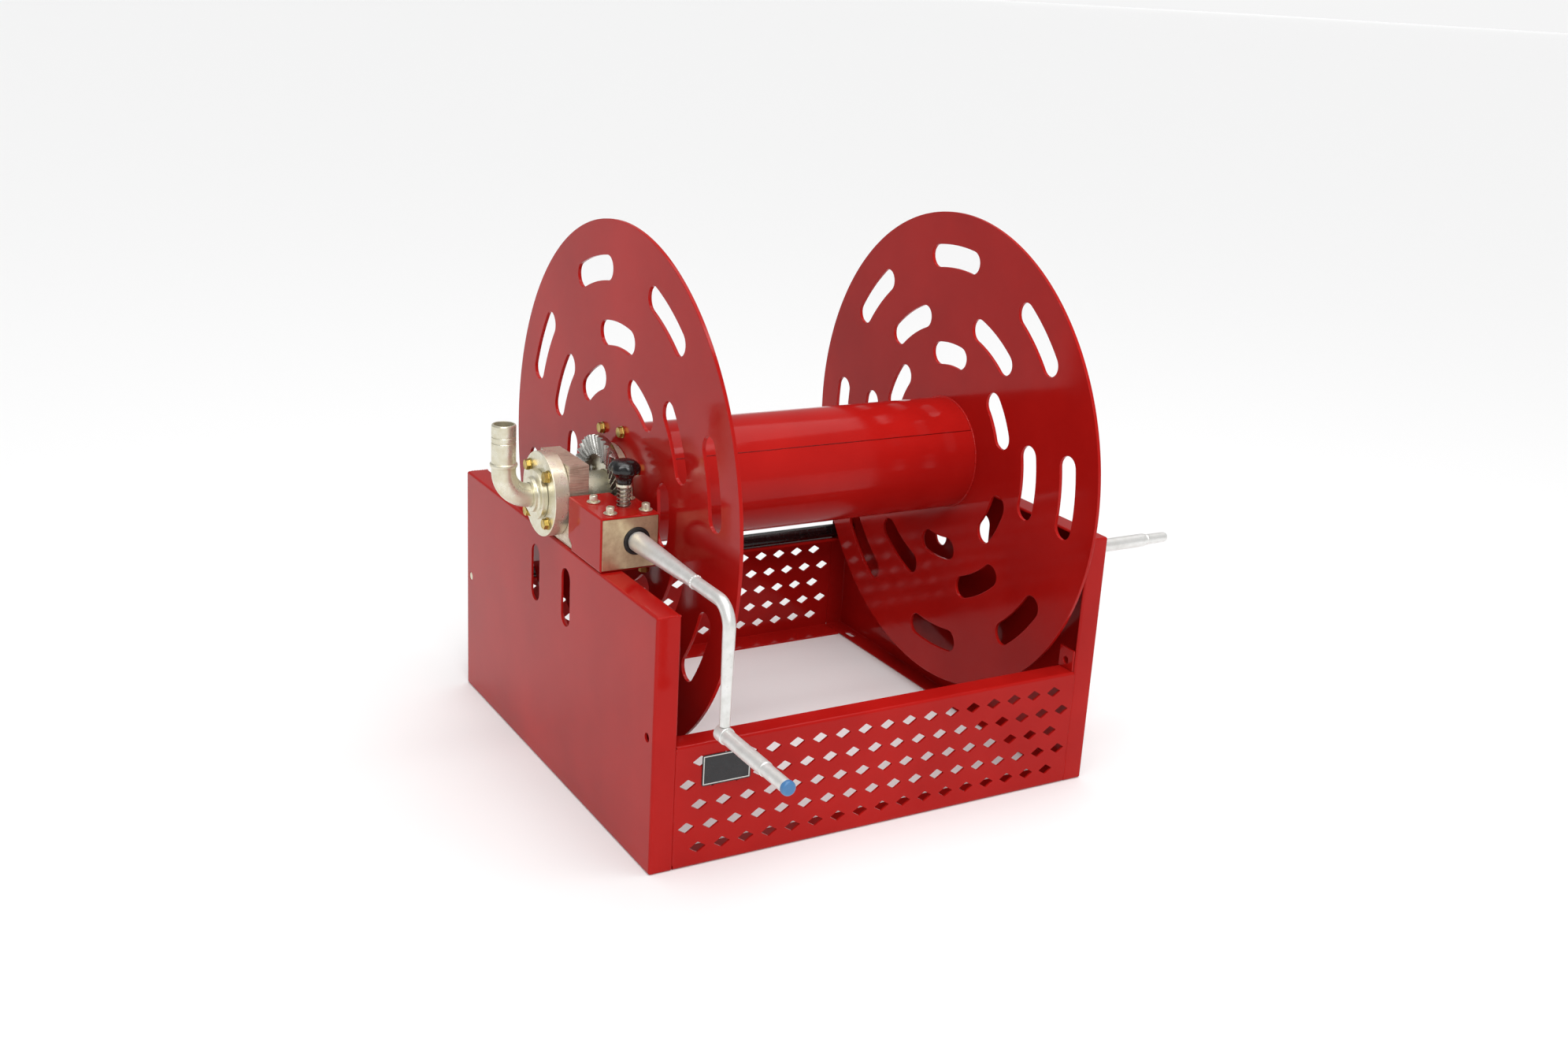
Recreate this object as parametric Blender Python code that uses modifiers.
"""Fire hose reel: a perforated steel frame, a slotted drum on a hollow water shaft, a swivel inlet,
and a crank that turns the drum through a pinion and a crown gear.

Metres, +Z up. The origin is on the floor under the middle of the overall box. +X runs along the
drum's axis towards the lock pin, and -Y is the side of the perforated front panel and the crank.
Inside the functions, X is counted from the outer face of the left side panel, Y from the front face
and Z from the floor; the frame empty carries everything to the origin.
"""
import math

import bmesh
import bpy
from mathutils import Matrix, Vector

# ---------------------------------------------------------------- driving dimensions
GAP = 0.0003                  # left between faces that touch on the real reel
RUNNING = 0.0003              # radial clearance of a turning or sliding fit

SHEET = 0.003                 # folded steel sheet of the frame
FRAME_WIDTH = 0.696
FRAME_DEPTH = 0.668
LEFT_HEIGHT = 0.348
RIGHT_HEIGHT = 0.370
PANEL_HEIGHT = 0.1715         # front and back panels
FLANGE = 0.0335               # width of the folded edges
BASE_FLANGE = 0.046           # bottom folds of the front and back panels
FOLD_RADIUS = 0.004

DIAMOND_WIDTH = 0.024
DIAMOND_HEIGHT = 0.0155
DIAMOND_PITCH = 0.035
ROW_PITCH = 0.0301
ROW_COUNT = 5
TOP_ROW_DROP = 0.0247         # from the panel's top edge to its first row
SIDE_MARGIN = 0.003           # least steel between a diamond and the panel's end

HAND_HOLE_WIDTH = 0.029
HAND_HOLE_HEIGHT = 0.083
HAND_HOLE_SPREAD = 0.108      # between the two hand holes of a side panel
HAND_HOLE_Z = 0.2775
FOOT_SLOT_LENGTH = 0.026
FOOT_SLOT_WIDTH = 0.011
FOOT_SLOT_INSET = 0.060       # from the frame's front and back

ROLLER_RADIUS = 0.011
ROLLER_SHAFT_RADIUS = 0.006
ROLLER_INSET = 0.018          # from the frame's back face to the roller's axis
ROLLER_RISE = 0.0125          # roller axis over the back panel
ROLLER_END_PLAY = 0.003

DRUM_Z = 0.410
DRUM_RADIUS = 0.08415
DRUM_WALL = 0.0045
DISC_RADIUS = 0.362
DISC_THICK = 0.005
LEFT_DISC_X = 0.0936
RIGHT_DISC_INSET = 0.0518     # from the right panel's outer face
END_PLATE_THICK = 0.010
END_PLATE_RADIUS = 0.100      # left; the right one fits inside the drum tube
SHAFT_RADIUS = 0.024
SHAFT_BORE = 0.019
SHAFT_REACH = 0.020           # shaft past the end plates into the drum
LEFT_DISC_TURN = 29.0         # degrees
RIGHT_DISC_TURN = -2.0
SLOT_WIDTH = 0.034
SLOT_RINGS = (                # radius, slots, length along the arc, first angle
    (0.297, 8, 0.1203, 0.0),
    (0.210, 6, 0.1100, 0.0),
    (0.151, 6, 0.0859, 30.0),
)
DISC_BOLT_COUNT = 8
DISC_BOLT_RING = 0.084
DISC_BOLT_TURN = 13.9         # degrees, first bolt above the horizontal
DISC_BOLT_SHANK = 0.004

BLOCK_THICK = 0.029
BLOCK_INSET = 0.004           # from the side panel's outer face
BLOCK_LENGTH = 0.100
BLOCK_RISE = 0.049            # top of a bearing block over the drum's axis
FOOT_LENGTH = 0.127
FOOT_HEIGHT = 0.006
FOOT_FILLET = 0.0135
BUSH_WALL = 0.005

FLANGE_RADIUS = 0.058
FLANGE_THICK = 0.0215
JOINT_BOLT_RING = 0.046
JOINT_BOLT_SHANK = 0.004
SEAL_FLOOR = 0.008            # rotary flange's outer face to the end of the drum shaft
SEAL_DEPTH = 0.007
SEAL_WIDTH = 0.006
BOSS_RADIUS = 0.034
BOSS_THICK = 0.008
COLLAR_RADIUS = 0.0235
COLLAR_THICK = 0.006
PIPE_RADIUS = 0.0163
PIPE_WALL = 0.003
ELBOW_BEND = 0.036
ELBOW_SEAT = 0.006            # pipe inside the collar
ELBOW_RISE = 0.0063           # straight pipe over the bend
TAIL_HEIGHT = 0.058
TAIL_BEAD = 0.0185
TAIL_GROOVES = (0.034,)       # up the tail

BOX_WIDTH = 0.083
BOX_REACH = 0.165             # from the drum's axis to the gearbox's front
BOX_LENGTH = 0.1065           # red cover
HEEL_LENGTH = 0.0935          # cover's bottom edge, short of the bearing block's foot
HEEL_HEIGHT = 0.0114          # up to where the cover's side slants back to its full length
BOX_HEIGHT = 0.0735
BLOCK_DEPTH = 0.083           # steel block inside the cover
CRANK_X = 0.0507
CRANK_DROP = 0.023            # crank axis under the drum axis
CRANK_SHAFT_RADIUS = 0.012
COVER_SHEET = 0.002
COVER_FOLD = 0.0025
NOTCH_SIDE = 0.005            # cover to the crown gear's teeth
NOTCH_END = 0.005             # cover to the crown gear's rim
SEAL_RADIUS = 0.0185
FRONT_SEAL_DEPTH = 0.007
SCREW_X = (0.020, 0.070)
SCREW_Y = (0.017, 0.070)      # from the cover's front edge
SCREW_RADIUS = 0.004
SCREW_OVERHANG = 0.010        # screw ends under the cover

GEAR_TEETH = 41
PINION_TEETH = 10
PITCH_REACH = 0.0595          # crown gear axis to the middle of the mesh, along Y
PINION_WIDTH = 0.010
ADDENDUM = 0.0016
DEDENDUM = 0.0026
TOOTH_TIP = 0.0020
TOOTH_ROOT = 0.0036
PINION_BORE = 0.007
GEAR_INNER = 0.047
GEAR_OUTER = 0.073
GEAR_RIM = 0.009              # steel behind the tooth roots
HUB_RADIUS = 0.060

PLUNGER_Y = 0.043             # from the cover's front edge
PLUNGER_RADIUS = 0.0055
PLUNGER_TRAVEL = 0.005
PLUNGER_GROOVE = 0.004        # depth of the groove in the crank shaft
PLUNGER_LIFT = 0.0015         # tip over the crank shaft when released
KNOB_RADIUS = 0.0215
KNOB_HEIGHT = 0.033
KNOB_RISE = 0.031             # knob over the cover
COLLAR_WIDTH = 0.0105         # radius of the plunger's spring collar
SPRING_RADIUS = 0.0085
SPRING_WIRE = 0.0008
SPRING_TURNS = 5

CONE_LENGTH = 0.1665
CONE_BASE = 0.0135
CONE_TIP = 0.0083
ARM_RADIUS = 0.0083
ARM_END_RADIUS = 0.0066
ARM_REACH = 0.090             # from the cone to the bend
ARM_BEND = 0.028
ARM_LENGTH = 0.1625           # crank axis to grip axis
EYE_RADIUS = 0.011
EYE_LENGTH = 0.017
GRIP_RADIUS = 0.0095
GRIP_STEP_RADIUS = 0.0085
GRIP_LENGTH = 0.094
GRIP_STEP_LENGTH = 0.047
GRIP_PIN_RADIUS = 0.005
GRIP_HEAD_RADIUS = 0.0066
GRIP_HEAD_LENGTH = 0.003
CAP_RADIUS = 0.00925
CAP_LENGTH = 0.007

LOCK_Y = 0.048
LOCK_Z = 0.338
LOCK_RADIUS = 0.0095
LOCK_STEP_RADIUS = 0.0073
LOCK_NOSE = 0.014             # nose of the pin to the right disc when it is pulled out
LOCK_REACH = 0.153            # pin outside the panel
LOCK_STEP = 0.040
GUIDE_WALL = 0.006
GUIDE_LENGTH = 0.030

PLATE_WIDTH = 0.070
PLATE_HEIGHT = 0.0425
PLATE_X = 0.0695
PLATE_Z = 0.1115
PLATE_THICK = 0.001

OUTLET_RADIUS = 0.016
OUTLET_REACH = 0.030          # nipple outside the drum
OUTLET_ANGLE = 0.0            # degrees above the horizontal, at the back
OUTLET_INSET = 0.060          # from the drum tube's left end

LUG_HEIGHT = 0.031
LUG_DEPTH = 0.030
LUG_HOLE_RADIUS = 0.0055

# ---------------------------------------------------------------- places that follow from them
DRUM_Y = FRAME_DEPTH / 2
RIGHT_DISC_X = FRAME_WIDTH - RIGHT_DISC_INSET
ROLLER_Y = FRAME_DEPTH - ROLLER_INSET
ROLLER_Z = PANEL_HEIGHT + ROLLER_RISE
CRANK_Z = DRUM_Z - CRANK_DROP
BOX_FRONT = DRUM_Y - BOX_REACH
COVER_TOP = LEFT_HEIGHT + BOX_HEIGHT
PITCH_RADIUS = PITCH_REACH * PINION_TEETH / GEAR_TEETH
PITCH_X = CRANK_X + PITCH_RADIUS
FLANGE_FACE = BLOCK_INSET - GAP - FLANGE_THICK
BOSS_FACE = FLANGE_FACE - GAP - BOSS_THICK
COLLAR_FACE = BOSS_FACE - COLLAR_THICK
TAIL_X = COLLAR_FACE - ELBOW_BEND
CONE_END = BOX_FRONT - CONE_LENGTH
BEND_Y = CONE_END - ARM_REACH
GRIP_Z = CRANK_Z - ARM_LENGTH
GRIP_START = BEND_Y - EYE_LENGTH / 2 - GAP
GRIP_END = GRIP_START - GRIP_LENGTH - GRIP_STEP_LENGTH
FRONT_REACH = GRIP_END - GAP - CAP_LENGTH
BACK_REACH = DRUM_Y + DISC_RADIUS
LEFT_REACH = TAIL_X - TAIL_BEAD
RIGHT_REACH = FRAME_WIDTH + LOCK_REACH
ORIGIN = Vector(((LEFT_REACH + RIGHT_REACH) / 2, (FRONT_REACH + BACK_REACH) / 2, 0.0))

ALONG_X = (0.0, math.pi / 2, 0.0)           # turns local +Z to +X
ALONG_Y = (-math.pi / 2, 0.0, 0.0)          # turns local +Z to +Y
FACING_X = (math.pi / 2, 0.0, math.pi / 2)  # local X, Y, Z become Y, Z, X


# ---------------------------------------------------------------- scene and materials
for old in list(bpy.data.objects):
    bpy.data.objects.remove(old, do_unlink=True)


def new_collection(name):
    collection = bpy.data.collections.new(name)
    bpy.context.scene.collection.children.link(collection)
    return collection


PARTS = new_collection("fire_hose_reel")
CUTTERS = new_collection("cutters")


def new_material(name, colour, roughness, metallic):
    material = bpy.data.materials.new(name)
    material.use_nodes = True
    shader = material.node_tree.nodes["Principled BSDF"]
    shader.inputs["Base Color"].default_value = (*colour, 1.0)
    shader.inputs["Roughness"].default_value = roughness
    shader.inputs["Metallic"].default_value = metallic
    return material


RED = new_material("red_enamel", (0.45, 0.012, 0.012), 0.25, 0.0)
STEEL = new_material("zinc_plated_steel", (0.55, 0.53, 0.46), 0.35, 1.0)
GEAR_STEEL = new_material("gear_steel", (0.42, 0.43, 0.44), 0.3, 1.0)
SILVER = new_material("cast_aluminium", (0.70, 0.70, 0.70), 0.35, 1.0)
GOLD = new_material("yellow_zinc", (0.60, 0.45, 0.15), 0.35, 1.0)
BLACK = new_material("black_phenolic", (0.012, 0.012, 0.012), 0.25, 0.0)
RUBBER = new_material("black_rubber", (0.02, 0.02, 0.02), 0.5, 0.0)
BRONZE = new_material("bearing_bronze", (0.45, 0.27, 0.10), 0.4, 1.0)
BLUE = new_material("blue_plastic", (0.05, 0.22, 0.55), 0.4, 0.0)


# ---------------------------------------------------------------- bodies
def new_empty(name, place, parent):
    empty = bpy.data.objects.new(name, None)
    PARTS.objects.link(empty)
    empty.parent = parent
    empty["place"] = place
    base = Vector(parent["place"]) if parent else ORIGIN
    empty.location = Vector(place) - base
    return empty


FRAME = new_empty("frame_body", (0.0, 0.0, 0.0), None)
DRUM = new_empty("drum_axis", (LEFT_DISC_X, DRUM_Y, DRUM_Z), FRAME)
ROLLER = new_empty("roller_axis", (FRAME_WIDTH / 2, ROLLER_Y, ROLLER_Z), FRAME)
CRANK = new_empty("crank_axis", (CRANK_X, BOX_FRONT, CRANK_Z), FRAME)
GRIP = new_empty("grip_axis", (CRANK_X, GRIP_START, GRIP_Z), CRANK)
PLUNGER = new_empty("plunger_axis", (CRANK_X, BOX_FRONT + PLUNGER_Y, COVER_TOP), FRAME)
LOCK = new_empty("lock_axis", (FRAME_WIDTH, LOCK_Y, LOCK_Z), FRAME)


# ---------------------------------------------------------------- modelling helpers
def put(obj, body, place, turn, material):
    """Hang an object on its body's empty, at a place counted from the frame's corner."""
    PARTS.objects.link(obj)
    obj.parent = body
    obj.location = Vector(place) - Vector(body["place"])
    obj.rotation_euler = turn
    obj.data.materials.append(material)
    return obj


def mesh_object(name, bm):
    mesh = bpy.data.meshes.new(name)
    bm.to_mesh(mesh)
    bm.free()
    return bpy.data.objects.new(name, mesh)


def smooth(obj, angle=35.0):
    obj.data.shade_smooth()
    obj.data.set_sharp_from_angle(angle=math.radians(angle))


def box_mesh(low, high):
    """A box between two corners, given from the object's own origin."""
    bm = bmesh.new()
    bmesh.ops.create_cube(bm, size=1.0)
    low = Vector(low)
    size = Vector(high) - low
    bmesh.ops.scale(bm, vec=size, verts=bm.verts)
    bmesh.ops.translate(bm, vec=low + size / 2, verts=bm.verts)
    return bm


def bevel(obj, width, segments=2):
    modifier = obj.modifiers.new("edges", "BEVEL")
    modifier.width = width
    modifier.segments = segments
    modifier.limit_method = "ANGLE"
    modifier.angle_limit = math.radians(40)


def box(name, low, high, material, body=FRAME, edge=0.0):
    centre = (Vector(low) + Vector(high)) / 2
    obj = mesh_object(name, box_mesh(Vector(low) - centre, Vector(high) - centre))
    put(obj, body, centre, (0, 0, 0), material)
    if edge:
        bevel(obj, edge)
    return obj


def turned(name, profile, place, turn, material, body=FRAME, steps=24):
    """A profile of (radius, height) turned about local Z; it runs down its outer side.

    A profile that starts and ends on the axis is solid; any other is closed into a ring.
    """
    mesh = bpy.data.meshes.new(name)
    points = [(radius, 0.0, height) for radius, height in profile]
    edges = [(i, i + 1) for i in range(len(points) - 1)]
    if profile[0][0] > 0.0:
        edges.append((len(points) - 1, 0))
    mesh.from_pydata(points, edges, [])
    obj = bpy.data.objects.new(name, mesh)
    put(obj, body, place, turn, material)
    screw = obj.modifiers.new("turn", "SCREW")
    screw.steps = steps
    screw.render_steps = steps
    screw.use_merge_vertices = True
    screw.merge_threshold = 0.00001
    screw.use_smooth_shade = True
    return obj


def ring_profile(outer, inner, length, chamfer=0.0):
    """A plain ring from height 0 to length, its outer corners taken off."""
    if not chamfer:
        return [(outer, length), (outer, 0.0), (inner, 0.0), (inner, length)]
    return [(outer - chamfer, length), (outer, length - chamfer), (outer, chamfer),
            (outer - chamfer, 0.0), (inner, 0.0), (inner, length)]


def rod_profile(radius, length, chamfer):
    """A solid round bar from height 0 to length with chamfered ends."""
    return [(0.0, length), (radius - chamfer, length), (radius, length - chamfer),
            (radius, chamfer), (radius - chamfer, 0.0), (0.0, 0.0)]


def curve_to_mesh(name, curve):
    """The closed mesh of a curve, its caps welded."""
    guide = bpy.data.objects.new(name + "_curve", curve)
    bpy.context.scene.collection.objects.link(guide)
    graph = bpy.context.evaluated_depsgraph_get()
    mesh = bpy.data.meshes.new_from_object(guide.evaluated_get(graph))
    bpy.data.objects.remove(guide, do_unlink=True)
    bm = bmesh.new()
    bm.from_mesh(mesh)
    bmesh.ops.remove_doubles(bm, verts=bm.verts, dist=0.00001)
    bmesh.ops.recalc_face_normals(bm, faces=bm.faces)
    bm.to_mesh(mesh)
    bm.free()
    return mesh


def add_spline(curve, points, cyclic):
    spline = curve.splines.new("POLY")
    spline.points.add(len(points) - 1)
    for target, point in zip(spline.points, points):
        target.co = (*point, 1.0) if len(point) == 3 else (*point, 0.0, 1.0)
    spline.use_cyclic_u = cyclic
    return spline


def outline_mesh(name, outlines, thickness):
    """A flat plate in the local XY plane, centred on it; later outlines are its holes."""
    curve = bpy.data.curves.new(name, "CURVE")
    curve.dimensions = "2D"
    curve.fill_mode = "BOTH"
    curve.extrude = thickness / 2
    for points in outlines:
        add_spline(curve, points, True)
    return curve_to_mesh(name, curve)


def plate(name, outlines, thickness, place, turn, material, body=FRAME):
    obj = bpy.data.objects.new(name, outline_mesh(name, outlines, thickness))
    return put(obj, body, place, turn, material)


def swept_mesh(name, points, radii, filled, resolution=3):
    """A round bar or an open tube skin along a route, with a radius at each point."""
    curve = bpy.data.curves.new(name, "CURVE")
    curve.dimensions = "3D"
    curve.bevel_depth = 1.0
    curve.bevel_resolution = resolution
    curve.use_fill_caps = filled
    spline = add_spline(curve, points, False)
    for target, radius in zip(spline.points, radii):
        target.radius = radius
    return curve_to_mesh(name, curve)


def circle(radius, steps=12, centre=(0.0, 0.0)):
    return [(centre[0] + radius * math.cos(2 * math.pi * i / steps),
             centre[1] + radius * math.sin(2 * math.pi * i / steps)) for i in range(steps)]


def arc(centre, radius, start, end, steps):
    """Points on an arc, from one angle to another in degrees."""
    angles = [math.radians(start + (end - start) * i / steps) for i in range(steps + 1)]
    return [(centre[0] + radius * math.cos(a), centre[1] + radius * math.sin(a)) for a in angles]


def rounded_rectangle(length, width, corner, steps=3, along=6):
    """Outline of a rectangle about the origin; its long sides are split for bending."""
    x, y = length / 2 - corner, width / 2 - corner
    points = []
    for centre, start in (((x, y), 0), ((-x, y), 90), ((-x, -y), 180), ((x, -y), 270)):
        points += arc(centre, corner, start, start + 90, steps)
        if start in (0, 180):
            side = -1 if start == 0 else 1
            points += [(side * x * (2 * i / along - 1), centre[1] + math.copysign(corner, y * -side))
                       for i in range(1, along)]
    return points


def cutter(obj, target):
    """Use a finished object as the cutter of another."""
    for collection in list(obj.users_collection):
        collection.objects.unlink(obj)
    CUTTERS.objects.link(obj)
    obj.hide_render = True
    obj.display_type = "WIRE"
    modifier = target.modifiers.new("cut", "BOOLEAN")
    modifier.operation = "DIFFERENCE"
    modifier.solver = "EXACT"
    modifier.object = obj
    return obj


def drill(target, radius, place, turn, length, body=FRAME, steps=24):
    """A round hole through a piece, centred on a place."""
    tool = turned(target.name + "_drill", rod_profile(radius, length, radius * 0.001), (0, 0, 0), turn,
                  target.data.materials[0], body, steps)
    axis = tool.rotation_euler.to_matrix() @ Vector((0, 0, length / 2))
    tool.location = Vector(place) - axis - Vector(body["place"])
    return cutter(tool, target)


def prism_cutter(target, outlines, thickness, place, turn, body=FRAME):
    """Cut a set of separate outlines through a piece."""
    bm = bmesh.new()
    for points in outlines:
        base = [bm.verts.new((x, y, -thickness / 2)) for x, y in points]
        face = bm.faces.new(base)
        pulled = bmesh.ops.extrude_face_region(bm, geom=[face])["geom"]
        tips = [item for item in pulled if isinstance(item, bmesh.types.BMVert)]
        bmesh.ops.translate(bm, vec=(0, 0, thickness), verts=tips)
    bmesh.ops.recalc_face_normals(bm, faces=bm.faces)
    tool = mesh_object(target.name + "_holes", bm)
    put(tool, body, place, turn, target.data.materials[0])
    return cutter(tool, target)


def lofted(name, sections, place, turn, material, body=FRAME):
    """A closed solid through (outline, height) sections with equal point counts, from low to high."""
    bm = bmesh.new()
    rings = [[bm.verts.new((x, y, height)) for x, y in outline] for outline, height in sections]
    count = len(rings[0])
    for low, high in zip(rings, rings[1:]):
        for i in range(count):
            j = (i + 1) % count
            bm.faces.new((low[i], low[j], high[j], high[i]))
    bm.faces.new(reversed(rings[0]))
    bm.faces.new(rings[-1])
    obj = mesh_object(name, bm)
    put(obj, body, place, turn, material)
    smooth(obj)
    return obj


def hexagon(across, steps=12):
    points = []
    for i in range(steps):
        angle = 2 * math.pi * i / steps
        fold = (angle + math.pi / 6) % (math.pi / 3) - math.pi / 6
        radius = across / 2 / math.cos(fold)
        points.append((radius * math.cos(angle), radius * math.sin(angle)))
    return points


def hex_bolt(name, across, height, shank, length, place, turn, material, body=FRAME):
    """A flanged hexagon bolt; local +Z points out of its head, which sits at height 0."""
    round_shank = circle(shank)
    washer = circle(across * 0.62)
    head = hexagon(across)
    sections = [(round_shank, -length), (round_shank, 0.0), (washer, 0.0), (washer, 0.0016),
                (head, 0.0016), (head, height)]
    return lofted(name, sections, place, turn, material, body)


def pipe(name, points, radius, wall, material, body):
    """An open-ended bent pipe."""
    mesh = swept_mesh(name, points, [radius] * len(points), False, 4)
    obj = bpy.data.objects.new(name, mesh)
    put(obj, body, body["place"], (0, 0, 0), material)
    skin = obj.modifiers.new("wall", "SOLIDIFY")
    skin.thickness = wall
    skin.offset = -1.0
    smooth(obj)
    return obj


# ---------------------------------------------------------------- frame
def side_panel(name, outer_x, inward, height):
    """A folded pan: the panel with its four edges turned inward."""
    low = (min(outer_x, outer_x + inward * FLANGE), 0.0, 0.0)
    high = (max(outer_x, outer_x + inward * FLANGE), FRAME_DEPTH, height)
    panel = box(name, low, high, RED, FRAME, FOLD_RADIUS)
    panel.modifiers["edges"].segments = 2
    web = outer_x + inward * SHEET
    far = outer_x + inward * (FLANGE + 0.02)
    middle = Vector(((web + far) / 2, FRAME_DEPTH / 2, height / 2))
    half = Vector((abs(far - web) / 2, FRAME_DEPTH / 2 - SHEET, height / 2 - SHEET))
    hollow = mesh_object(name + "_hollow", box_mesh(-half, half))
    cutter(put(hollow, FRAME, middle, (0, 0, 0), RED), panel)
    hand_hole = rounded_rectangle(HAND_HOLE_HEIGHT, HAND_HOLE_WIDTH, HAND_HOLE_WIDTH / 2 - 0.0001)
    hand_hole = [(-y, x) for x, y in hand_hole]
    outlines = []
    for side in (-1, 1):
        outlines.append([(y + side * HAND_HOLE_SPREAD / 2, z + HAND_HOLE_Z) for y, z in hand_hole])
    for y in (ROLLER_INSET - FRAME_DEPTH / 2, FRAME_DEPTH / 2 - ROLLER_INSET):
        outlines.append(circle(ROLLER_SHAFT_RADIUS + GAP, 20, (y, ROLLER_Z)))
    prism_cutter(panel, outlines, 0.02, (outer_x, FRAME_DEPTH / 2, 0.0), FACING_X)
    foot_slot = rounded_rectangle(FOOT_SLOT_LENGTH, FOOT_SLOT_WIDTH, FOOT_SLOT_WIDTH / 2 - 0.0001, 3, 2)
    outlines = []
    for y in (FOOT_SLOT_INSET, FRAME_DEPTH - FOOT_SLOT_INSET):
        outlines.append([(b, a + y) for a, b in foot_slot])
    prism_cutter(panel, outlines, 0.02, (outer_x + inward * 0.019, 0.0, 0.0), (0, 0, 0))
    smooth(panel)
    return panel


def cross_panel(name, face_y, inward):
    """A perforated panel between the side panels, folded inward at its top and bottom."""
    end = FLANGE + GAP
    fold, inner = FOLD_RADIUS, FOLD_RADIUS - SHEET
    outline = [(BASE_FLANGE, 0.0), (BASE_FLANGE, SHEET)]
    outline += arc((FOLD_RADIUS, FOLD_RADIUS), inner, 270, 180, 3)
    outline += arc((FOLD_RADIUS, PANEL_HEIGHT - fold), inner, 180, 90, 3)
    outline += [(FLANGE - SHEET, PANEL_HEIGHT - SHEET), (FLANGE - SHEET, PANEL_HEIGHT)]
    outline += arc((FOLD_RADIUS, PANEL_HEIGHT - fold), fold, 90, 180, 4)
    outline += arc((FOLD_RADIUS, FOLD_RADIUS), fold, 180, 270, 4)
    outline = [(inward * y, z) for y, z in outline]
    length = FRAME_WIDTH - 2 * end
    panel = plate(name, [outline], length, (FRAME_WIDTH / 2, face_y, 0.0), FACING_X, RED)
    diamonds = []
    reach = length / 2 - SIDE_MARGIN - DIAMOND_WIDTH / 2
    for row in range(ROW_COUNT):
        z = PANEL_HEIGHT - TOP_ROW_DROP - row * ROW_PITCH
        start = 0.5 if row % 2 else 0.0
        count = int((reach - start * DIAMOND_PITCH) / DIAMOND_PITCH)
        for i in range(-count - (1 if start else 0), count + 1):
            x = (i + start) * DIAMOND_PITCH
            diamonds.append([(x + DIAMOND_WIDTH / 2, z), (x, z + DIAMOND_HEIGHT / 2),
                             (x - DIAMOND_WIDTH / 2, z), (x, z - DIAMOND_HEIGHT / 2)])
    place = (FRAME_WIDTH / 2, face_y + inward * SHEET / 2, 0.0)
    prism_cutter(panel, diamonds, 0.008, place, (math.pi / 2, 0, 0))
    smooth(panel)
    return panel


left_panel = side_panel("left_side_panel", 0.0, 1, LEFT_HEIGHT)
right_panel = side_panel("right_side_panel", FRAME_WIDTH, -1, RIGHT_HEIGHT)
cross_panel("front_panel", 0.0, 1)
cross_panel("back_panel", FRAME_DEPTH, -1)

lug_low, lug_high = PANEL_HEIGHT + GAP, PANEL_HEIGHT + LUG_HEIGHT
lug_outline = [(0.0, lug_low), (LUG_DEPTH, lug_low), (LUG_DEPTH, lug_high), (0.0, lug_high)]
plate("corner_lug", [lug_outline, circle(LUG_HOLE_RADIUS, 20, (ROLLER_INSET - SHEET, ROLLER_Z))],
      SHEET, (FRAME_WIDTH - FLANGE - GAP - SHEET / 2, SHEET, 0.0), FACING_X, RED)
box("name_plate", (PLATE_X, -GAP - PLATE_THICK, PLATE_Z),
    (PLATE_X + PLATE_WIDTH, -GAP, PLATE_Z + PLATE_HEIGHT), BLACK)

# guide roller: a tube turning on a fixed shaft held in the side panels
shaft_low, shaft_high = GAP, FRAME_WIDTH - GAP
turned("roller_shaft", rod_profile(ROLLER_SHAFT_RADIUS, shaft_high - shaft_low, 0.0008),
       (shaft_low, ROLLER_Y, ROLLER_Z), ALONG_X, STEEL, FRAME, 20)
roller_length = FRAME_WIDTH - 2 * (SHEET + ROLLER_END_PLAY)
turned("guide_roller", ring_profile(ROLLER_RADIUS, ROLLER_SHAFT_RADIUS + RUNNING, roller_length, 0.001),
       (SHEET + ROLLER_END_PLAY, ROLLER_Y, ROLLER_Z), ALONG_X, BLACK, ROLLER, 20)


# ---------------------------------------------------------------- drum
def disc_slot(radius, length, angle):
    """One slot of a disc, bent along its ring."""
    flat = rounded_rectangle(length, SLOT_WIDTH, SLOT_WIDTH / 2 - 0.0001, 2, 3)
    points = []
    for along, across in flat:
        bent = angle + along / radius
        points.append(((radius + across) * math.cos(bent), (radius + across) * math.sin(bent)))
    return points


def drum_disc(name, x, turn, bolt_holes):
    outlines = [circle(DISC_RADIUS, 80), circle(SHAFT_RADIUS + 2 * GAP, 24)]
    for radius, count, length, first in SLOT_RINGS:
        for i in range(count):
            outlines.append(disc_slot(radius, length, math.radians(first + turn + 360 * i / count)))
    for centre in bolt_holes:
        outlines.append(circle(DISC_BOLT_SHANK + 2 * GAP, 8, centre))
    disc = plate(name, outlines, DISC_THICK, (x + DISC_THICK / 2, DRUM_Y, DRUM_Z), FACING_X, RED, DRUM)
    smooth(disc)
    return disc


def end_plate(name, x, radius, bolt_holes):
    outlines = [circle(radius, 48), circle(SHAFT_RADIUS + 2 * GAP, 24)]
    for centre in bolt_holes:
        outlines.append(circle(DISC_BOLT_SHANK + 2 * GAP, 8, centre))
    obj = plate(name, outlines, END_PLATE_THICK, (x + END_PLATE_THICK / 2, DRUM_Y, DRUM_Z), FACING_X,
                STEEL, DRUM)
    smooth(obj)
    return obj


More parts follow.
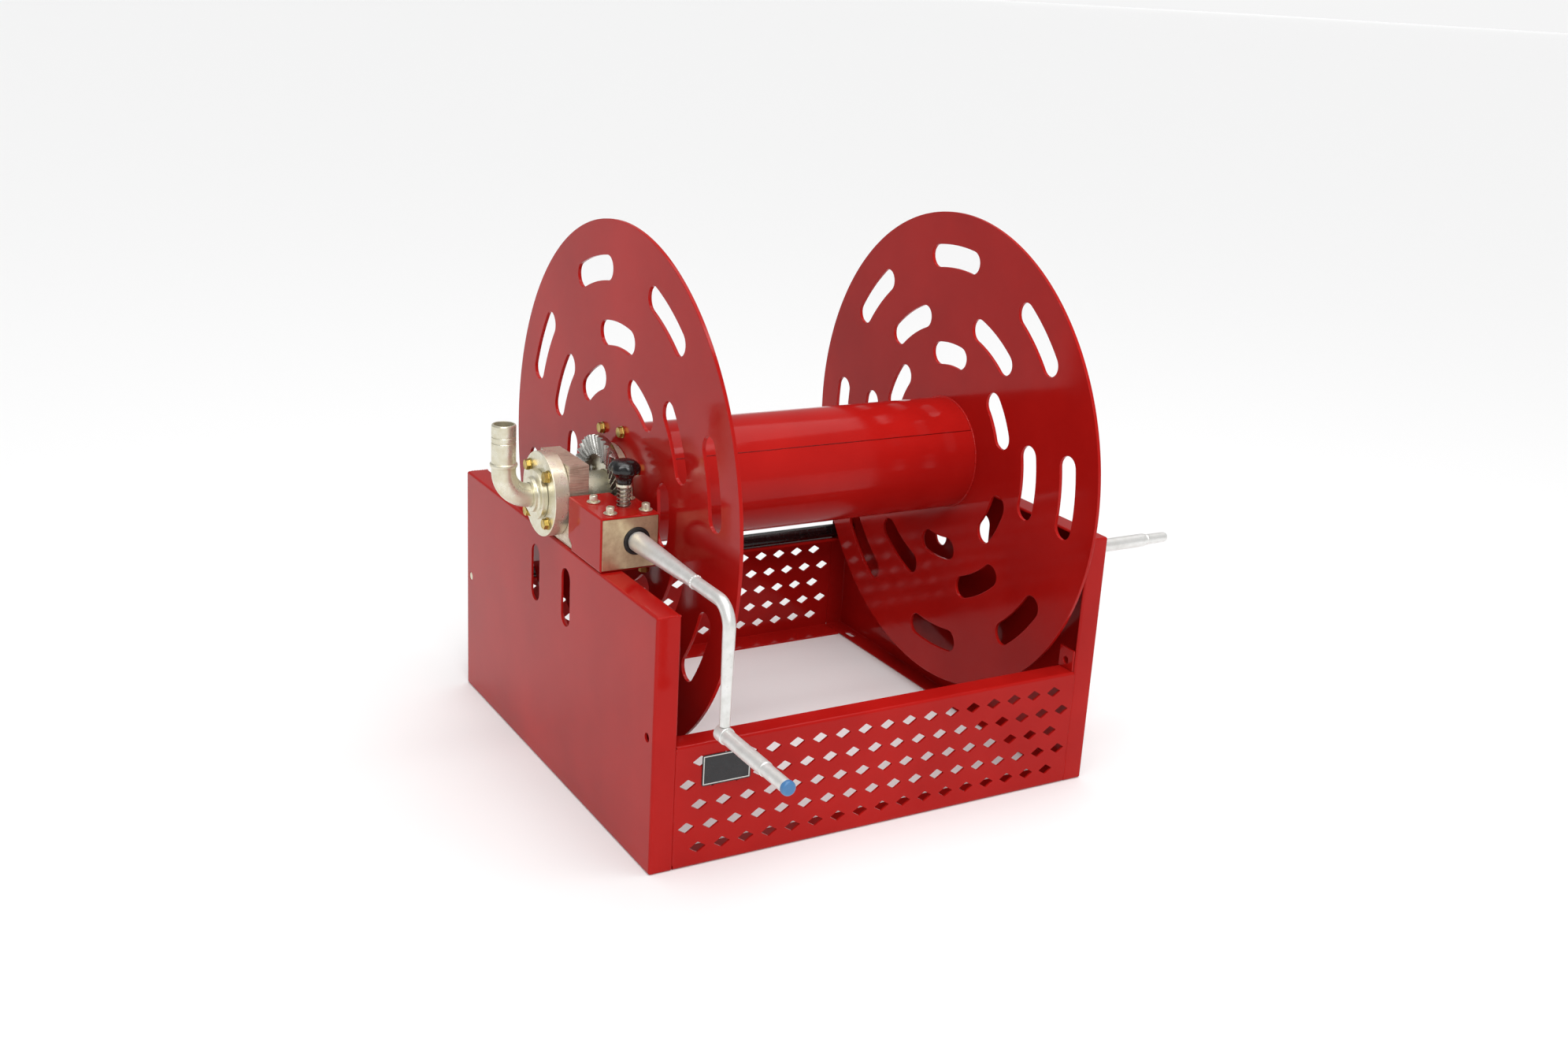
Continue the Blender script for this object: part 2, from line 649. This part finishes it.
bolt_places = arc((0.0, 0.0), DISC_BOLT_RING, DISC_BOLT_TURN,
                  DISC_BOLT_TURN + 360 * (DISC_BOLT_COUNT - 1) / DISC_BOLT_COUNT, DISC_BOLT_COUNT - 1)
drum_disc("left_disc", LEFT_DISC_X, LEFT_DISC_TURN, bolt_places)
drum_disc("right_disc", RIGHT_DISC_X, RIGHT_DISC_TURN, [])
left_plate_x = LEFT_DISC_X + DISC_THICK + GAP
right_plate_x = RIGHT_DISC_X - GAP - END_PLATE_THICK
end_plate("left_end_plate", left_plate_x, END_PLATE_RADIUS, bolt_places)
end_plate("right_end_plate", right_plate_x, DRUM_RADIUS - DRUM_WALL - 2 * GAP, [])
for number, (y, z) in enumerate(bolt_places, 1):
    hex_bolt("disc_bolt_%d" % number, 0.013, 0.0068, DISC_BOLT_SHANK, DISC_THICK + GAP + 0.009,
             (LEFT_DISC_X - GAP, DRUM_Y + y, DRUM_Z + z), (0, -math.pi / 2, 0), GOLD, DRUM)

tube_low = left_plate_x + END_PLATE_THICK + GAP
tube_length = RIGHT_DISC_X - GAP - tube_low
tube = turned("drum_tube", ring_profile(DRUM_RADIUS, DRUM_RADIUS - DRUM_WALL, tube_length),
              (tube_low, DRUM_Y, DRUM_Z), ALONG_X, RED, DRUM, 56)
outlet_turn = math.radians(OUTLET_ANGLE)
outlet_way = Vector((0.0, math.cos(outlet_turn), math.sin(outlet_turn)))
outlet_x = tube_low + OUTLET_INSET
outlet_root = Vector((outlet_x, DRUM_Y, DRUM_Z)) + outlet_way * (DRUM_RADIUS - 0.012)
outlet_tilt = (-math.pi / 2 + outlet_turn, 0.0, 0.0)
drill(tube, OUTLET_RADIUS + GAP, outlet_root, outlet_tilt, 0.04, DRUM, 20)
outlet_length = OUTLET_REACH + 0.012
turned("outlet_nipple",
       [(OUTLET_RADIUS - 0.001, outlet_length), (OUTLET_RADIUS, outlet_length - 0.001), (OUTLET_RADIUS, 0.0),
        (OUTLET_RADIUS - 0.0035, 0.0), (OUTLET_RADIUS - 0.0035, outlet_length)],
       outlet_root, outlet_tilt, STEEL, DRUM, 20)

shaft_start = FLANGE_FACE + SEAL_FLOOR
shaft_end = left_plate_x + END_PLATE_THICK + SHAFT_REACH
turned("drum_shaft_left", ring_profile(SHAFT_RADIUS, SHAFT_BORE, shaft_end - shaft_start, 0.001),
       (shaft_start, DRUM_Y, DRUM_Z), ALONG_X, STEEL, DRUM)
right_block_x = FRAME_WIDTH - BLOCK_INSET - BLOCK_THICK
right_start = right_plate_x - SHAFT_REACH
turned("drum_shaft_right", rod_profile(SHAFT_RADIUS, right_block_x + BLOCK_THICK - right_start, 0.001),
       (right_start, DRUM_Y, DRUM_Z), ALONG_X, STEEL, DRUM)

# ---------------------------------------------------------------- gears
gear_tip_x = PITCH_X - ADDENDUM
gear_root_x = PITCH_X + DEDENDUM
gear_back_x = gear_root_x + GEAR_RIM


def crown_gear(name):
    """Ring of straight ridges, every one tangent to the circle of the crank's offset."""
    offsets = (-TOOTH_ROOT / 2, -TOOTH_TIP / 2, TOOTH_TIP / 2, TOOTH_ROOT / 2)
    depths = (gear_root_x, gear_tip_x, gear_tip_x, gear_root_x)
    levels = (
        (GEAR_OUTER, None), (GEAR_INNER, None), (GEAR_INNER, gear_back_x), (GEAR_OUTER, gear_back_x),
    )
    bm = bmesh.new()
    rings = []
    for radius, flat in levels:
        ring = []
        for k in range(GEAR_TEETH):
            for offset, depth in zip(offsets, depths):
                angle = math.pi + math.asin((CRANK_DROP + offset) / radius) + 2 * math.pi * k / GEAR_TEETH
                x = depth if flat is None else flat
                ring.append(bm.verts.new((x - LEFT_DISC_X, radius * math.cos(angle), radius * math.sin(angle))))
        rings.append(ring)
    for near, far in zip(rings, rings[1:] + rings[:1]):
        for i in range(len(near)):
            j = (i + 1) % len(near)
            bm.faces.new((near[i], near[j], far[j], far[i]))
    bmesh.ops.recalc_face_normals(bm, faces=bm.faces)
    obj = put(mesh_object(name, bm), DRUM, (LEFT_DISC_X, DRUM_Y, DRUM_Z), (0, 0, 0), GEAR_STEEL)
    smooth(obj, 25)
    return obj


crown_gear("crown_gear")
hub_low = gear_back_x + GAP
turned("gear_hub", ring_profile(HUB_RADIUS, SHAFT_RADIUS + GAP, LEFT_DISC_X - GAP - hub_low, 0.001),
       (hub_low, DRUM_Y, DRUM_Z), ALONG_X, STEEL, DRUM)

pinion_outline = []
for tooth in range(PINION_TEETH):
    axis = 2 * math.pi * (tooth + 0.5) / PINION_TEETH
    for radius, side in ((PITCH_RADIUS - DEDENDUM, -TOOTH_ROOT / 2), (PITCH_RADIUS + ADDENDUM, -TOOTH_TIP / 2),
                         (PITCH_RADIUS + ADDENDUM, TOOTH_TIP / 2), (PITCH_RADIUS - DEDENDUM, TOOTH_ROOT / 2)):
        pinion_outline.append((radius * math.cos(axis) - side * math.sin(axis),
                               radius * math.sin(axis) + side * math.cos(axis)))
pinion_y = DRUM_Y - PITCH_REACH
pinion = plate("pinion", [pinion_outline, circle(PINION_BORE + GAP)], PINION_WIDTH,
               (CRANK_X, pinion_y, CRANK_Z), ALONG_Y, GEAR_STEEL, CRANK)


# ---------------------------------------------------------------- bearings
def bearing_block(name, x, base_z, bolt_holes):
    """A block with a flared foot, standing on a side panel's top fold."""
    top, foot = DRUM_Z + BLOCK_RISE, base_z + GAP
    half, foot_half = BLOCK_LENGTH / 2, FOOT_LENGTH / 2
    flare = FOOT_FILLET
    outline = [(foot_half, foot), (foot_half, foot + FOOT_HEIGHT)]
    outline += arc((half + flare, foot + FOOT_HEIGHT + flare), flare, 270, 180, 4)
    outline += [(half, top), (-half, top)]
    outline += arc((-half - flare, foot + FOOT_HEIGHT + flare), flare, 0, -90, 4)
    outline += [(-foot_half, foot + FOOT_HEIGHT), (-foot_half, foot)]
    outline = [(y, z - DRUM_Z) for y, z in outline]
    outlines = [outline, circle(SHAFT_RADIUS + RUNNING + BUSH_WALL + GAP, 28)]
    for centre in bolt_holes:
        outlines.append(circle(JOINT_BOLT_SHANK + GAP, 12, centre))
    block = plate(name, outlines, BLOCK_THICK, (x + BLOCK_THICK / 2, DRUM_Y, DRUM_Z), FACING_X, STEEL)
    smooth(block)
    bush_name = name.replace("block", "bush")
    bush = ring_profile(SHAFT_RADIUS + RUNNING + BUSH_WALL, SHAFT_RADIUS + RUNNING, BLOCK_THICK)
    turned(bush_name, bush, (x, DRUM_Y, DRUM_Z), ALONG_X, BRONZE)
    return block


joint_places = arc((0.0, 0.0), JOINT_BOLT_RING, 45, 315, 3)
bearing_block("left_bearing_block", BLOCK_INSET, LEFT_HEIGHT, joint_places)
bearing_block("right_bearing_block", right_block_x, RIGHT_HEIGHT, [])

# ---------------------------------------------------------------- swivel inlet
seal_outer = SHAFT_RADIUS + SEAL_WIDTH
flange_ring = turned(
    "rotary_flange",
    [(FLANGE_RADIUS, FLANGE_THICK), (FLANGE_RADIUS, 0.0015), (FLANGE_RADIUS - 0.0015, 0.0),
     (SHAFT_BORE, 0.0), (SHAFT_BORE, SEAL_FLOOR - GAP), (SHAFT_RADIUS + RUNNING, SEAL_FLOOR - GAP),
     (SHAFT_RADIUS + RUNNING, FLANGE_THICK - SEAL_DEPTH), (seal_outer, FLANGE_THICK - SEAL_DEPTH),
     (seal_outer, FLANGE_THICK)],
    (FLANGE_FACE, DRUM_Y, DRUM_Z), ALONG_X, STEEL)
for y, z in joint_places:
    drill(flange_ring, JOINT_BOLT_SHANK + GAP, (FLANGE_FACE + FLANGE_THICK / 2, DRUM_Y + y, DRUM_Z + z),
          ALONG_X, FLANGE_THICK + 0.01, FRAME, 12)
turned("joint_seal", ring_profile(seal_outer - GAP, SHAFT_RADIUS + RUNNING, SEAL_DEPTH - GAP),
       (FLANGE_FACE + FLANGE_THICK - SEAL_DEPTH + GAP, DRUM_Y, DRUM_Z), ALONG_X, RUBBER)
for number, (y, z) in enumerate(joint_places, 1):
    hex_bolt("joint_bolt_%d" % number, 0.013, 0.0075, JOINT_BOLT_SHANK, 0.042,
             (FLANGE_FACE - GAP, DRUM_Y + y, DRUM_Z + z), (0, -math.pi / 2, 0), GOLD)

cover_length = COLLAR_THICK + BOSS_THICK
pipe_bore = PIPE_RADIUS - PIPE_WALL
turned("rotary_cover",
       [(BOSS_RADIUS, cover_length), (BOSS_RADIUS, COLLAR_THICK + 0.001), (BOSS_RADIUS - 0.001, COLLAR_THICK),
        (COLLAR_RADIUS, COLLAR_THICK), (COLLAR_RADIUS, 0.001), (COLLAR_RADIUS - 0.001, 0.0),
        (PIPE_RADIUS + GAP, 0.0), (PIPE_RADIUS + GAP, ELBOW_SEAT + GAP), (pipe_bore, ELBOW_SEAT + GAP),
        (pipe_bore, cover_length)],
       (COLLAR_FACE, DRUM_Y, DRUM_Z), ALONG_X, STEEL)

bend_z = DRUM_Z + ELBOW_BEND
elbow_top = bend_z + ELBOW_RISE
route = [(COLLAR_FACE + ELBOW_SEAT, DRUM_Y, DRUM_Z)]
route += [(x, DRUM_Y, z) for x, z in arc((COLLAR_FACE, bend_z), ELBOW_BEND, 270, 180, 10)]
route.append((TAIL_X, DRUM_Y, elbow_top))
pipe("inlet_elbow", route, PIPE_RADIUS, PIPE_WALL, STEEL, FRAME)
groove = PIPE_RADIUS - 0.0012
tail_low = elbow_top + GAP
tail = [(PIPE_RADIUS - 0.0012, TAIL_HEIGHT), (PIPE_RADIUS, TAIL_HEIGHT - 0.003)]
for z in TAIL_GROOVES:
    tail += [(PIPE_RADIUS, z + 0.004), (groove, z + 0.003), (groove, z - 0.003), (PIPE_RADIUS, z - 0.004)]
tail += [(PIPE_RADIUS, 0.0045), (TAIL_BEAD, 0.0035), (TAIL_BEAD, 0.0), (pipe_bore, 0.0), (pipe_bore, TAIL_HEIGHT)]
turned("hose_tail", tail, (TAIL_X, DRUM_Y, tail_low), (0, 0, 0), STEEL, FRAME, 20)

# ---------------------------------------------------------------- gearbox
cover_low = LEFT_HEIGHT + GAP
cover = box("gearbox_cover", (0.0, BOX_FRONT, cover_low), (BOX_WIDTH, BOX_FRONT + BOX_LENGTH, COVER_TOP),
            RED, FRAME, COVER_FOLD)
inside_low = (COVER_SHEET, BOX_FRONT - 0.01, cover_low + COVER_SHEET)
inside_high = (BOX_WIDTH - COVER_SHEET, BOX_FRONT + BOX_LENGTH + 0.01, COVER_TOP - COVER_SHEET)
centre = (Vector(inside_low) + Vector(inside_high)) / 2
inside = mesh_object("gearbox_cover_inside", box_mesh(Vector(inside_low) - centre, Vector(inside_high) - centre))
cutter(put(inside, FRAME, centre, (0, 0, 0), RED), cover)
notch_low = Vector((gear_tip_x - NOTCH_SIDE, DRUM_Y - GEAR_OUTER - NOTCH_END, cover_low - 0.01))
notch_high = Vector((BOX_WIDTH + 0.01, BOX_FRONT + BOX_LENGTH + 0.01, COVER_TOP + 0.01))
centre = (notch_low + notch_high) / 2
notch = mesh_object("gearbox_cover_notch", box_mesh(notch_low - centre, notch_high - centre))
cutter(put(notch, FRAME, centre, (0, 0, 0), RED), cover)
heel_y, heel_z = BOX_FRONT + HEEL_LENGTH, cover_low + HEEL_HEIGHT
back_y = BOX_FRONT + BOX_LENGTH
heel = [(heel_y, cover_low - 0.01), (back_y + 0.01, cover_low - 0.01), (back_y + 0.01, heel_z + 0.006),
        (back_y - 0.002, heel_z + 0.006), (heel_y, heel_z)]
prism_cutter(cover, [heel], BOX_WIDTH + 0.02, (BOX_WIDTH / 2, 0.0, 0.0), FACING_X)

block_low = (COVER_SHEET + GAP, BOX_FRONT, cover_low + COVER_SHEET + GAP)
block_high = (BOX_WIDTH - COVER_SHEET - GAP, BOX_FRONT + BLOCK_DEPTH, COVER_TOP - COVER_SHEET - GAP)
gear_block = box("gearbox_block", block_low, block_high, STEEL, FRAME, 0.0008)
drill(gear_block, CRANK_SHAFT_RADIUS + RUNNING, (CRANK_X, BOX_FRONT + BLOCK_DEPTH / 2, CRANK_Z), ALONG_Y,
      BLOCK_DEPTH + 0.02, FRAME, 20)
drill(gear_block, SEAL_RADIUS + GAP, (CRANK_X, BOX_FRONT, CRANK_Z), ALONG_Y, 2 * FRONT_SEAL_DEPTH, FRAME, 24)
plunger_y = BOX_FRONT + PLUNGER_Y
drill(gear_block, PLUNGER_RADIUS + RUNNING, (CRANK_X, plunger_y, COVER_TOP), (0, 0, 0),
      2 * (COVER_TOP - CRANK_Z), FRAME, 16)
drill(cover, PLUNGER_RADIUS + RUNNING, (CRANK_X, plunger_y, COVER_TOP), (0, 0, 0), 0.01, FRAME, 16)
screw_places = [(x, BOX_FRONT + y) for x in SCREW_X for y in SCREW_Y]
for number, (x, y) in enumerate(screw_places, 1):
    for target in (cover, gear_block) + ((left_panel,) if x < FLANGE else ()):
        drill(target, SCREW_RADIUS + GAP, (x, y, (COVER_TOP + LEFT_HEIGHT) / 2), (0, 0, 0),
              BOX_HEIGHT + 0.03, FRAME, 12)
    length = BOX_HEIGHT + SCREW_OVERHANG
    sections = [(circle(SCREW_RADIUS), -length), (circle(SCREW_RADIUS), 0.0), (circle(0.0075), 0.0),
                (circle(0.0075), 0.0096), (hexagon(0.006), 0.0096), (hexagon(0.006), 0.0046)]
    lofted("cover_screw_%d" % number, sections, (x, y, COVER_TOP + GAP), (0, 0, 0), STEEL)
smooth(cover)
smooth(gear_block)

turned("shaft_seal", ring_profile(SEAL_RADIUS, CRANK_SHAFT_RADIUS + RUNNING, FRONT_SEAL_DEPTH + 0.001, 0.0008),
       (CRANK_X, BOX_FRONT - 0.0013, CRANK_Z), ALONG_Y, RUBBER)

# ---------------------------------------------------------------- lock plunger
tip = CRANK_Z + CRANK_SHAFT_RADIUS + PLUNGER_LIFT - COVER_TOP
stem_top = KNOB_RISE + 0.014
collar_low = KNOB_RISE - 0.004
turned("lock_plunger",
       [(0.0, stem_top), (0.0042, stem_top), (0.0042, KNOB_RISE), (COLLAR_WIDTH, KNOB_RISE - GAP),
        (COLLAR_WIDTH, collar_low), (PLUNGER_RADIUS, collar_low), (PLUNGER_RADIUS, tip + 0.002),
        (PLUNGER_RADIUS - 0.002, tip), (0.0, tip)],
       (CRANK_X, plunger_y, COVER_TOP), (0, 0, 0), STEEL, PLUNGER, 20)
turned("plunger_knob",
       [(0.0, KNOB_HEIGHT), (0.008, KNOB_HEIGHT - 0.0006), (0.015, KNOB_HEIGHT - 0.003),
        (0.0198, KNOB_HEIGHT - 0.0075), (KNOB_RADIUS, KNOB_HEIGHT - 0.0135), (0.0203, KNOB_HEIGHT - 0.018),
        (0.0150, KNOB_HEIGHT - 0.0215), (0.0105, 0.0065), (0.0098, 0.0015), (0.0090, GAP),
        (0.0045, GAP), (0.0045, 0.0145), (0.0, 0.0145)],
       (CRANK_X, plunger_y, COVER_TOP + KNOB_RISE), (0, 0, 0), BLACK, PLUNGER, 24)

spring_low = GAP + SPRING_WIRE
spring_high = collar_low - GAP - SPRING_WIRE
spring_points, spring_steps = [], 12 * SPRING_TURNS
for i in range(spring_steps + 1):
    angle = 2 * math.pi * i / 12
    spring_points.append((SPRING_RADIUS * math.cos(angle), SPRING_RADIUS * math.sin(angle),
                          spring_low + (spring_high - spring_low) * i / spring_steps))
spring = bpy.data.objects.new("plunger_spring",
                              swept_mesh("plunger_spring", spring_points,
                                         [SPRING_WIRE] * len(spring_points), True, 0))
put(spring, PLUNGER, (CRANK_X, plunger_y, COVER_TOP), (0, 0, 0), STEEL)
smooth(spring, 60)

# ---------------------------------------------------------------- crank
groove_start = PLUNGER_Y - PLUNGER_RADIUS - 0.0015
groove_end = PLUNGER_Y + PLUNGER_RADIUS + 0.0015
groove_radius = CRANK_SHAFT_RADIUS - PLUNGER_GROOVE
stub_start = BLOCK_DEPTH + GAP + 0.0012
stub_end = pinion_y + PINION_WIDTH / 2 - BOX_FRONT + 0.0015
cone_high = -0.0018
turned("crank_spindle",
       [(0.0, stub_end), (PINION_BORE - 0.0008, stub_end), (PINION_BORE, stub_end - 0.0008),
        (PINION_BORE, stub_start), (CRANK_SHAFT_RADIUS, stub_start), (CRANK_SHAFT_RADIUS, groove_end),
        (groove_radius, groove_end), (groove_radius, groove_start), (CRANK_SHAFT_RADIUS, groove_start),
        (CRANK_SHAFT_RADIUS, cone_high), (CONE_BASE - 0.001, cone_high), (CONE_BASE, cone_high - 0.001),
        (CONE_TIP, -CONE_LENGTH), (0.0, -CONE_LENGTH)],
       (CRANK_X, BOX_FRONT, CRANK_Z), ALONG_Y, SILVER, CRANK)

bend_centre = (BEND_Y + ARM_BEND, CRANK_Z - ARM_BEND)
route = [(CRANK_X, CONE_END - GAP, CRANK_Z)]
route += [(CRANK_X, y, z) for y, z in arc(bend_centre, ARM_BEND, 90, 180, 8)]
route.append((CRANK_X, BEND_Y, GRIP_Z + EYE_RADIUS + GAP))
radii = [ARM_RADIUS] * (len(route) - 1) + [ARM_END_RADIUS]
route = [Vector(point) - Vector(CRANK["place"]) for point in route]
arm = bpy.data.objects.new("crank_arm", swept_mesh("crank_arm", [tuple(p) for p in route], radii, True, 4))
put(arm, CRANK, CRANK["place"], (0, 0, 0), SILVER)
smooth(arm)
turned("crank_eye", ring_profile(EYE_RADIUS, GRIP_PIN_RADIUS + GAP, EYE_LENGTH, 0.0012),
       (CRANK_X, BEND_Y - EYE_LENGTH / 2, GRIP_Z), ALONG_Y, SILVER, CRANK, 24)

grip_all = GRIP_LENGTH + GRIP_STEP_LENGTH
head_seat = grip_all - GRIP_HEAD_LENGTH - 2 * GAP
turned("grip_pin",
       [(0.0, grip_all - GAP), (GRIP_HEAD_RADIUS, grip_all - GAP), (GRIP_HEAD_RADIUS, head_seat + GAP),
        (GRIP_PIN_RADIUS, head_seat + GAP), (GRIP_PIN_RADIUS, -EYE_LENGTH - GAP), (0.0, -EYE_LENGTH - GAP)],
       (CRANK_X, GRIP_START, GRIP_Z), (math.pi / 2, 0, 0), STEEL, CRANK, 20)
turned("grip_sleeve",
       [(GRIP_STEP_RADIUS - 0.0006, grip_all), (GRIP_STEP_RADIUS, grip_all - 0.0006),
        (GRIP_STEP_RADIUS, GRIP_LENGTH + 0.001), (GRIP_RADIUS, GRIP_LENGTH), (GRIP_RADIUS, 0.001),
        (GRIP_RADIUS - 0.001, 0.0), (GRIP_PIN_RADIUS + RUNNING, 0.0), (GRIP_PIN_RADIUS + RUNNING, head_seat),
        (GRIP_HEAD_RADIUS + RUNNING, head_seat), (GRIP_HEAD_RADIUS + RUNNING, grip_all)],
       (CRANK_X, GRIP_START, GRIP_Z), (math.pi / 2, 0, 0), SILVER, GRIP, 24)
turned("grip_cap",
       [(0.0, CAP_LENGTH), (CAP_RADIUS - 0.0025, CAP_LENGTH), (CAP_RADIUS - 0.0006, CAP_LENGTH - 0.0012),
        (CAP_RADIUS, CAP_LENGTH - 0.003), (CAP_RADIUS, 0.0), (0.0, 0.0)],
       (CRANK_X, GRIP_END - GAP, GRIP_Z), (math.pi / 2, 0, 0), BLUE, GRIP, 20)

# ---------------------------------------------------------------- drum lock pin
nose = RIGHT_DISC_X + DISC_THICK + LOCK_NOSE
pin_length = RIGHT_REACH - nose
step_at = pin_length - LOCK_STEP
turned("lock_pin",
       [(0.0, pin_length), (LOCK_STEP_RADIUS - 0.003, pin_length - 0.0004),
        (LOCK_STEP_RADIUS - 0.0009, pin_length - 0.0022), (LOCK_STEP_RADIUS, pin_length - 0.005),
        (LOCK_STEP_RADIUS, step_at + 0.0015), (LOCK_RADIUS - 0.0022, step_at + 0.0015),
        (LOCK_RADIUS - 0.0022, step_at - 0.0015), (LOCK_RADIUS, step_at - 0.0015), (LOCK_RADIUS, 0.003),
        (LOCK_RADIUS - 0.003, 0.0), (0.0, 0.0)],
       (nose, LOCK_Y, LOCK_Z), ALONG_X, SILVER, LOCK, 20)
guide_outer = LOCK_RADIUS + GUIDE_WALL
drill(right_panel, guide_outer + GAP, (FRAME_WIDTH, LOCK_Y, LOCK_Z), ALONG_X, 0.02, FRAME, 24)
turned("lock_pin_guide",
       [(guide_outer, GUIDE_LENGTH), (guide_outer, GUIDE_LENGTH - SHEET - GAP),
        (guide_outer + 0.004, GUIDE_LENGTH - SHEET - GAP), (guide_outer + 0.004, GUIDE_LENGTH - SHEET - 0.004),
        (guide_outer, GUIDE_LENGTH - SHEET - 0.004), (guide_outer, 0.001), (guide_outer - 0.001, 0.0),
        (LOCK_RADIUS + RUNNING, 0.0), (LOCK_RADIUS + RUNNING, GUIDE_LENGTH)],
       (FRAME_WIDTH - GUIDE_LENGTH, LOCK_Y, LOCK_Z), ALONG_X, STEEL, FRAME, 20)
